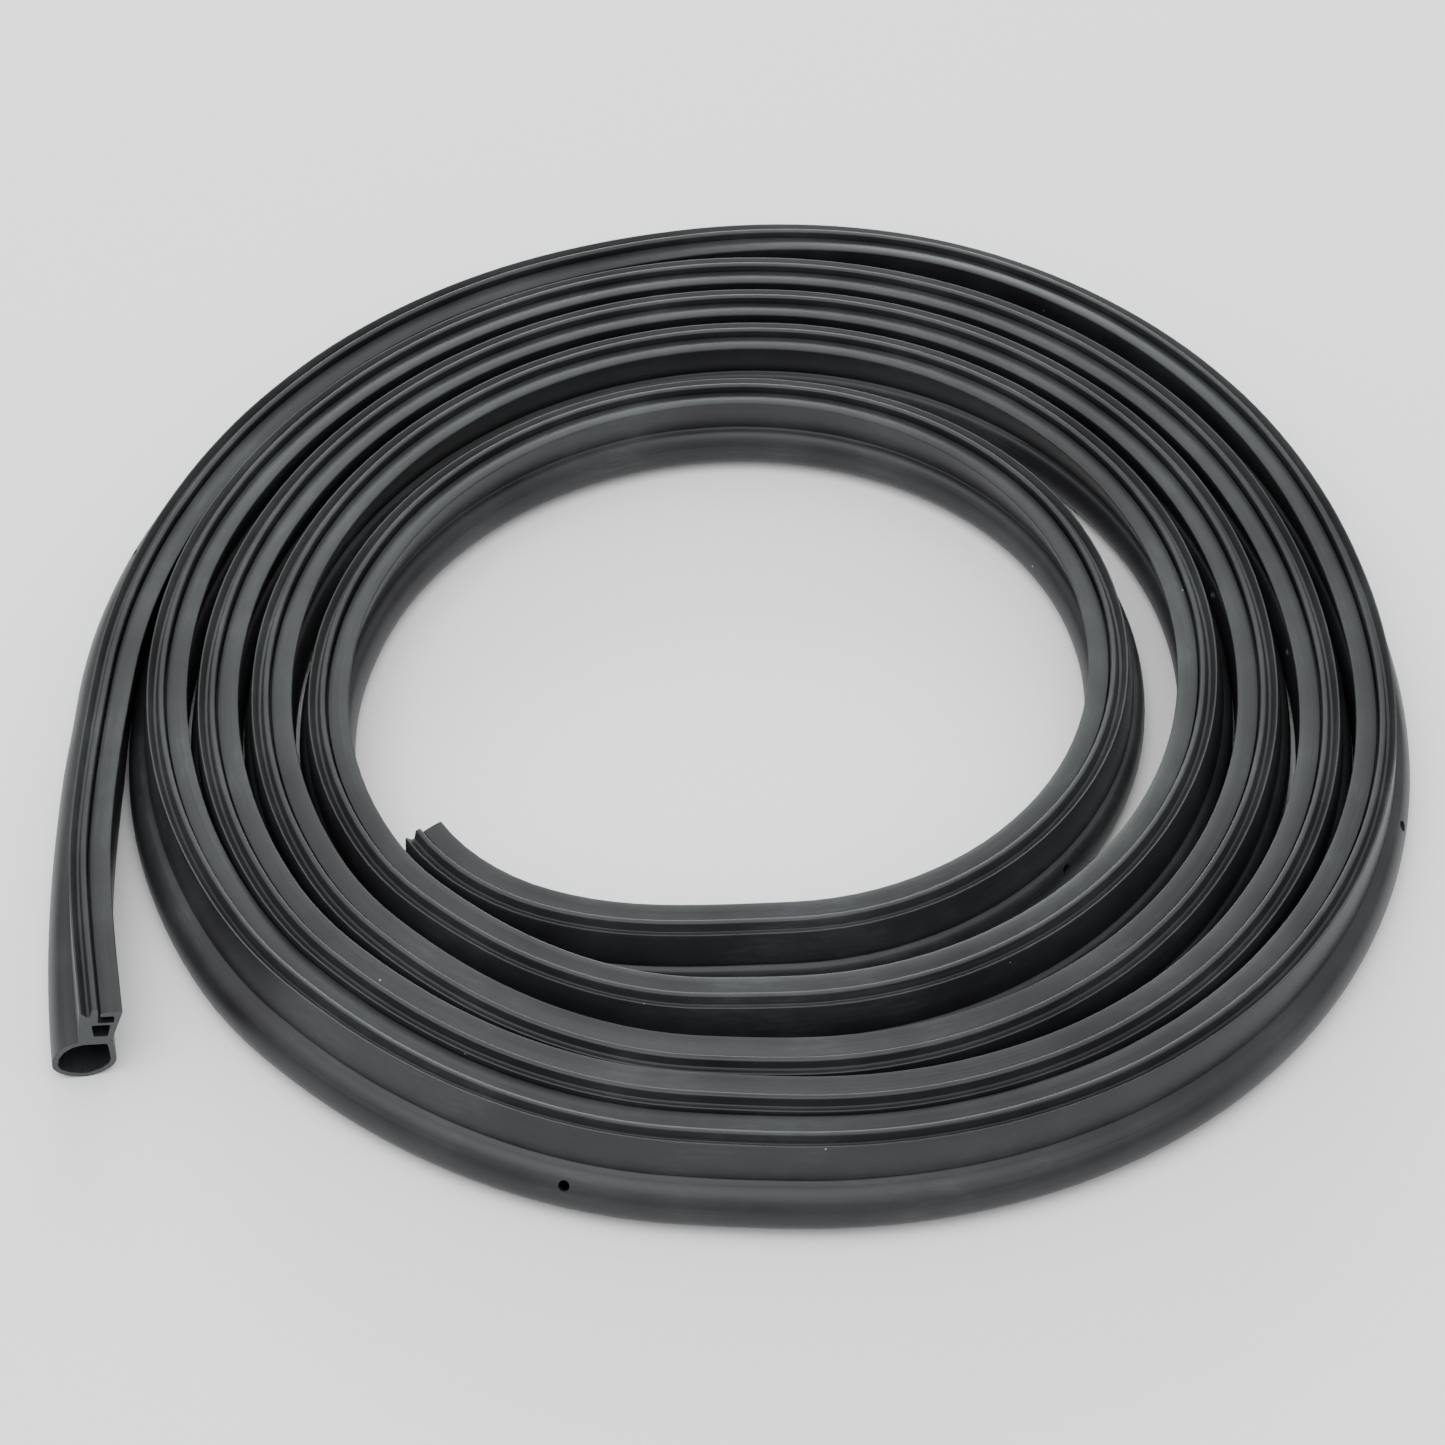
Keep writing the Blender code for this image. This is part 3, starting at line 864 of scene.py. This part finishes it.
        for label, operation, *terms in (
            ("sine", "SINE", "lean"),
            ("cosine", "COSINE", "lean"),
            ("u_across", "MULTIPLY", "u", "cosine"),
            ("v_across", "MULTIPLY", "v", "sine"),
            ("leaned", "SUBTRACT", "u_across", "v_across"),
            ("neck_x", "ADD", "leaned", "neck_shift"),
            ("u_upward", "MULTIPLY_ADD", "u", "sine", "Bulb height"),
            ("neck_z", "MULTIPLY_ADD", "v", "cosine", "u_upward"),
            ("bulb_x", "MULTIPLY_ADD", "by_width", "half_width", "fixed_x"),
            ("x", "MULTIPLY_ADD", "by_neck_x", "neck_x", "bulb_x"),
            ("z", "MULTIPLY_ADD", "by_neck_z", "neck_z", "fixed_z"),
            ("height_share", "DIVIDE", "z", "Bulb height"),
            ("loose", "MINIMUM", "height_share", 1.0),
        ):
            links = {i: values.get(term, term) for i, term in enumerate(terms)}
            values[label] = add_node(tree, "ShaderNodeMath", {"operation": operation}, links).outputs[0]
        foot, outward = (
            add_node(tree, "GeometryNodeInputNamedAttribute", {"data_type": "FLOAT_VECTOR"}, {
                "Name": label,
            }).outputs["Attribute"]
            for label in ("foot", "outward")
        )
        across = add_node(tree, "ShaderNodeVectorMath", {"operation": "SCALE"}, {
            "Vector": outward, "Scale": values["x"],
        }).outputs[0]
        upward = add_node(tree, "ShaderNodeCombineXYZ", {}, {"Z": values["z"]}).outputs[0]
        beside = add_node(tree, "ShaderNodeVectorMath", {"operation": "ADD"}, {
            0: foot, 1: across,
        }).outputs[0]
        place = add_node(tree, "ShaderNodeVectorMath", {"operation": "ADD"}, {
            0: beside, 1: upward,
        }).outputs[0]
        skin = add_node(tree, "GeometryNodeSetPosition", {}, {
            "Geometry": skin, "Position": place,
        }).outputs[0]
        frequency = add_node(tree, "ShaderNodeMath", {"operation": "DIVIDE"}, {
            0: 1.0, 1: given["Waver length"],
        }).outputs[0]
        wander = add_node(tree, "ShaderNodeTexNoise", {}, {
            "Scale": frequency, "Detail": 1.0,
        }).outputs["Color"]
        wander = add_node(tree, "ShaderNodeVectorMath", {"operation": "SUBTRACT"}, {
            0: wander, 1: (0.5, 0.5, 0.5),
        }).outputs[0]
        swing = add_node(tree, "ShaderNodeMath", {"operation": "MULTIPLY"}, {
            0: given["Waver height"], 1: values["loose"],
        }).outputs[0]
        offset = add_node(tree, "ShaderNodeVectorMath", {"operation": "SCALE"}, {
            "Vector": wander, "Scale": swing,
        }).outputs[0]
        skin = add_node(tree, "GeometryNodeSetPosition", {}, {"Geometry": skin, "Offset": offset}).outputs[0]
        strip_map = add_node(tree, "ShaderNodeCombineXYZ", {}, {
            "X": values["girth"], "Y": values["along"],
        }).outputs[0]
        skin = add_node(tree, "GeometryNodeStoreNamedAttribute", {
            "data_type": "FLOAT2", "domain": "CORNER",
        }, {"Geometry": skin, "Name": "strip_map", "Value": strip_map}).outputs[0]
        skin = add_node(tree, "GeometryNodeRealizeInstances", {}, {"Geometry": skin}).outputs[0]
        skin = add_node(tree, "GeometryNodeSetMaterial", {}, {
            "Geometry": skin, "Material": given["Finish"],
        }).outputs[0]
        add_node(tree, "NodeGroupOutput", {}, {"Geometry": skin})
        return tree

    def sweep(self, finish: bpy.types.Material) -> bpy.types.Mesh:
        """Run the sweep and keep its plain mesh.

        Args:
            finish: The material of the strip's skin.

        Returns:
            The swept skin, open at both ends.
        """
        guide, loops = self.route_guide(), self.section_guide()
        tree = self.sweep_tree()
        modifier = guide.modifiers.new("sweep", "NODES")
        modifier.node_group = tree
        sizes = {
            "Section": loops,
            "Bulb height": self.section.bulb_height,
            "Waver height": 2.0 * self.waver_height,
            "Waver length": self.waver_length,
            "Finish": finish,
        }
        for item in tree.interface.items_tree:
            if item.in_out == "INPUT" and item.name in sizes:
                modifier[item.identifier] = sizes[item.name]
        mesh = bpy.data.meshes.new_from_object(guide.evaluated_get(bpy.context.evaluated_depsgraph_get()))
        for spent in (guide, loops):
            bpy.data.objects.remove(spent, do_unlink=True)
        return mesh

    def close_ends(self, mesh: bpy.types.Mesh) -> None:
        """Fill both cut faces round their holes, and turn every face outwards.

        Args:
            mesh: The swept skin, which is changed in place.
        """
        bm = bmesh.new()
        bm.from_mesh(mesh)
        open_edges = [edge for edge in bm.edges if edge.is_boundary]
        start = self.route.point(0.0, self.pitch)
        reach = self.section.bulb_height * 3.0
        near_start = [e for e in open_edges if (e.verts[0].co - start).length < reach]
        near_end = [e for e in open_edges if e not in set(near_start)]
        for edges in (near_start, near_end):
            filled = bmesh.ops.triangle_fill(bm, use_beauty=True, edges=edges)
            for face in filled["geom"]:
                if isinstance(face, bmesh.types.BMFace):
                    face.material_index = 1
        bmesh.ops.recalc_face_normals(bm, faces=bm.faces)
        bm.to_mesh(mesh)
        bm.free()

    def vent_cutter(self) -> bpy.types.Object:
        """Pins that open the vents through the outer shoulder of the bulb, into its bore."""
        bm = bmesh.new()
        depth = 2.0 * (self.section.bulb_wall + self.vent_overcut)
        along = self.vent_first
        while along < self.lengths[-1]:
            run = self.run_at(along)
            half = self.route.half_width(run, self.section)
            stance = self.route.stance(run, self.section)
            flat_place, flat_out = self.section.shoulder(stance, half, self.vent_rise)
            outward = self.route.outward(run, self.pitch)
            place = self.route.point(run, self.pitch) + outward * flat_place.x + Vector((0, 0, flat_place.y))
            out = outward * flat_out.x + Vector((0, 0, flat_out.y))
            pose = out.to_track_quat("Z", "Y").to_matrix().to_4x4()
            pose.translation = place
            radius = self.vent_diameter / 2.0
            bmesh.ops.create_cone(bm, cap_ends=True, segments=self.vent_sides, radius1=radius,
                                  radius2=radius, depth=depth, matrix=pose)
            along += self.vent_spacing
        mesh = bpy.data.meshes.new("vent_cutter")
        bm.to_mesh(mesh)
        bm.free()
        cutter = bpy.data.objects.new("vent_cutter", mesh)
        bpy.context.scene.collection.objects.link(cutter)
        return cutter

    def centre_shift(self, mesh: bpy.types.Mesh) -> Vector:
        """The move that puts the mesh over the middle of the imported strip's footprint."""
        low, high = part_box(STRIP_NODE)
        middle = (low + high) / 2.0
        xs, ys = [v.co.x for v in mesh.vertices], [v.co.y for v in mesh.vertices]
        return Vector((middle.x - (min(xs) + max(xs)) / 2.0, middle.y - (min(ys) + max(ys)) / 2.0, 0.0))

    def build(self) -> bpy.types.Object:
        """Returns:
            The strip's object.
        """
        skin, cut = self.skin.material(), self.cut.material()
        mesh = self.sweep(skin)
        mesh.name = "weatherstrip_skin"
        mesh.materials.append(cut)
        self.close_ends(mesh)
        strip = bpy.data.objects.new("weatherstrip_skin", mesh)
        bpy.context.scene.collection.objects.link(strip)
        cutter = self.vent_cutter()
        vents = strip.modifiers.new("vents", "BOOLEAN")
        vents.operation = "DIFFERENCE"
        vents.solver = "MANIFOLD"
        vents.object = cutter
        vented = bpy.data.meshes.new_from_object(strip.evaluated_get(bpy.context.evaluated_depsgraph_get()))
        strip.modifiers.remove(vents)
        bpy.data.objects.remove(cutter, do_unlink=True)
        strip.data = vented
        shift = self.centre_shift(vented)
        for vertex in vented.vertices:
            vertex.co += shift
        vented.shade_smooth()
        vented.set_sharp_from_angle(angle=math.radians(self.sharp_angle))
        self.declare(strip, shift)
        return strip

    def declare(self, strip: bpy.types.Object, shift: Vector) -> None:
        """Hang the strip on the frame's root body and hide the imported strip that it replaces; a path along
        its middle is worked out but not handed on.
        """
        height = self.section.bulb_height + self.section.carrier_height
        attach(strip, "root")
        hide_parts(STRIP_NODE)
        middle = shift + Vector((0.0, 0.0, height / 2.0))
        step = len(self.runs) // self.path_points
        path = [self.route.point(run, self.pitch) + middle for run in self.runs[::step]]


@dataclass
class Studio:
    """White paper, soft lamps and the camera of the product photo."""

    paper: SweepPaper = field(default_factory=SweepPaper)
    paper_size: float = 6.0
    zenith_hex: str = "#ffffff"
    wall_hex: str = "#4c4e51"
    wall_top: float = 0.55
    room_strength: float = 1.35
    softboxes: tuple[Softbox, ...] = (
        Softbox("front_softbox", (-0.4, -0.5, 2.1), (2.2, 1.8), 42.0, "#fafbff"),
        Softbox("back_softbox", (-0.1, 2.2, 0.7), (1.4, 0.5), 46.0, "#f0fff8"),
    )
    aim: tuple[float, float] = (-4.7 * MM, -5.3 * MM)
    camera_elevation: float = 48.0
    camera_distance: float = 1.3
    sensor: float = 36.0
    lens: float = 107.95

    def lay_paper(self) -> bpy.types.Object:
        """The sheet that the strip lies on."""
        bm = bmesh.new()
        bmesh.ops.create_grid(bm, x_segments=8, y_segments=8, size=self.paper_size / 2.0)
        mesh = bpy.data.meshes.new("paper")
        bm.to_mesh(mesh)
        bm.free()
        mesh.materials.append(self.paper.material())
        paper = bpy.data.objects.new("paper", mesh)
        bpy.context.scene.collection.objects.link(paper)
        return paper

    def hang_lamp(self, softbox: Softbox) -> None:
        """Hang one softbox so that it faces the coil."""
        lamp = bpy.data.lights.new(softbox.name, "AREA")
        lamp.shape = "RECTANGLE"
        lamp.size, lamp.size_y = softbox.size
        lamp.energy = softbox.power
        lamp.color = linear_colour(softbox.tint_hex)[:3]
        holder = bpy.data.objects.new(softbox.name, lamp)
        holder.location = softbox.place
        holder.rotation_euler = (-holder.location).to_track_quat("-Z", "Y").to_euler()
        bpy.context.scene.collection.objects.link(holder)

    def light(self) -> None:
        """A room with a white ceiling and darker walls, and soft lamps above and behind the coil."""
        world = bpy.data.worlds.new("white_room")
        world.use_nodes = True
        tree = world.node_tree
        facing = add_node(tree, "ShaderNodeTexCoord", {}, {}).outputs["Generated"]
        height = add_node(tree, "ShaderNodeSeparateXYZ", {}, {0: facing}).outputs["Z"]
        ceiling = add_node(tree, "ShaderNodeMapRange", {"interpolation_type": "SMOOTHSTEP"}, {
            "Value": height, "From Min": 0.0, "From Max": self.wall_top,
        }).outputs[0]
        shade = add_node(tree, "ShaderNodeMix", {"data_type": "RGBA"}, {
            0: ceiling, 6: linear_colour(self.wall_hex), 7: linear_colour(self.zenith_hex),
        }).outputs[2]
        backdrop = tree.nodes["Background"]
        tree.links.new(shade, backdrop.inputs["Color"])
        backdrop.inputs["Strength"].default_value = self.room_strength
        bpy.context.scene.world = world
        for softbox in self.softboxes:
            self.hang_lamp(softbox)

    def set_camera(self) -> None:
        """Stand the camera where the photo was taken."""
        data = bpy.data.cameras.new("camera")
        data.sensor_width = self.sensor
        data.lens = self.lens
        data.clip_end = 50.0
        holder = bpy.data.objects.new("camera", data)
        a = math.radians(self.camera_elevation)
        away = Vector((0.0, -math.cos(a), math.sin(a)))
        holder.location = Vector((*self.aim, 0.0)) + away * self.camera_distance
        holder.rotation_euler = (-away).to_track_quat("-Z", "Y").to_euler()
        bpy.context.scene.collection.objects.link(holder)
        bpy.context.scene.camera = holder

    def build(self) -> None:
        """Set the whole studio up."""
        self.set_camera()
        self.lay_paper()
        self.light()


def main() -> None:
    """Load the frame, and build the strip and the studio."""
    logging.basicConfig(level=logging.INFO, format="%(message)s")
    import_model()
    Studio().build()
    strip = Weatherstrip()
    piece = strip.build()
    log.info("%s: %.3f m of strip, %d faces", piece.name, strip.lengths[-1], len(piece.data.polygons))


if __name__ == "__main__":
    main()
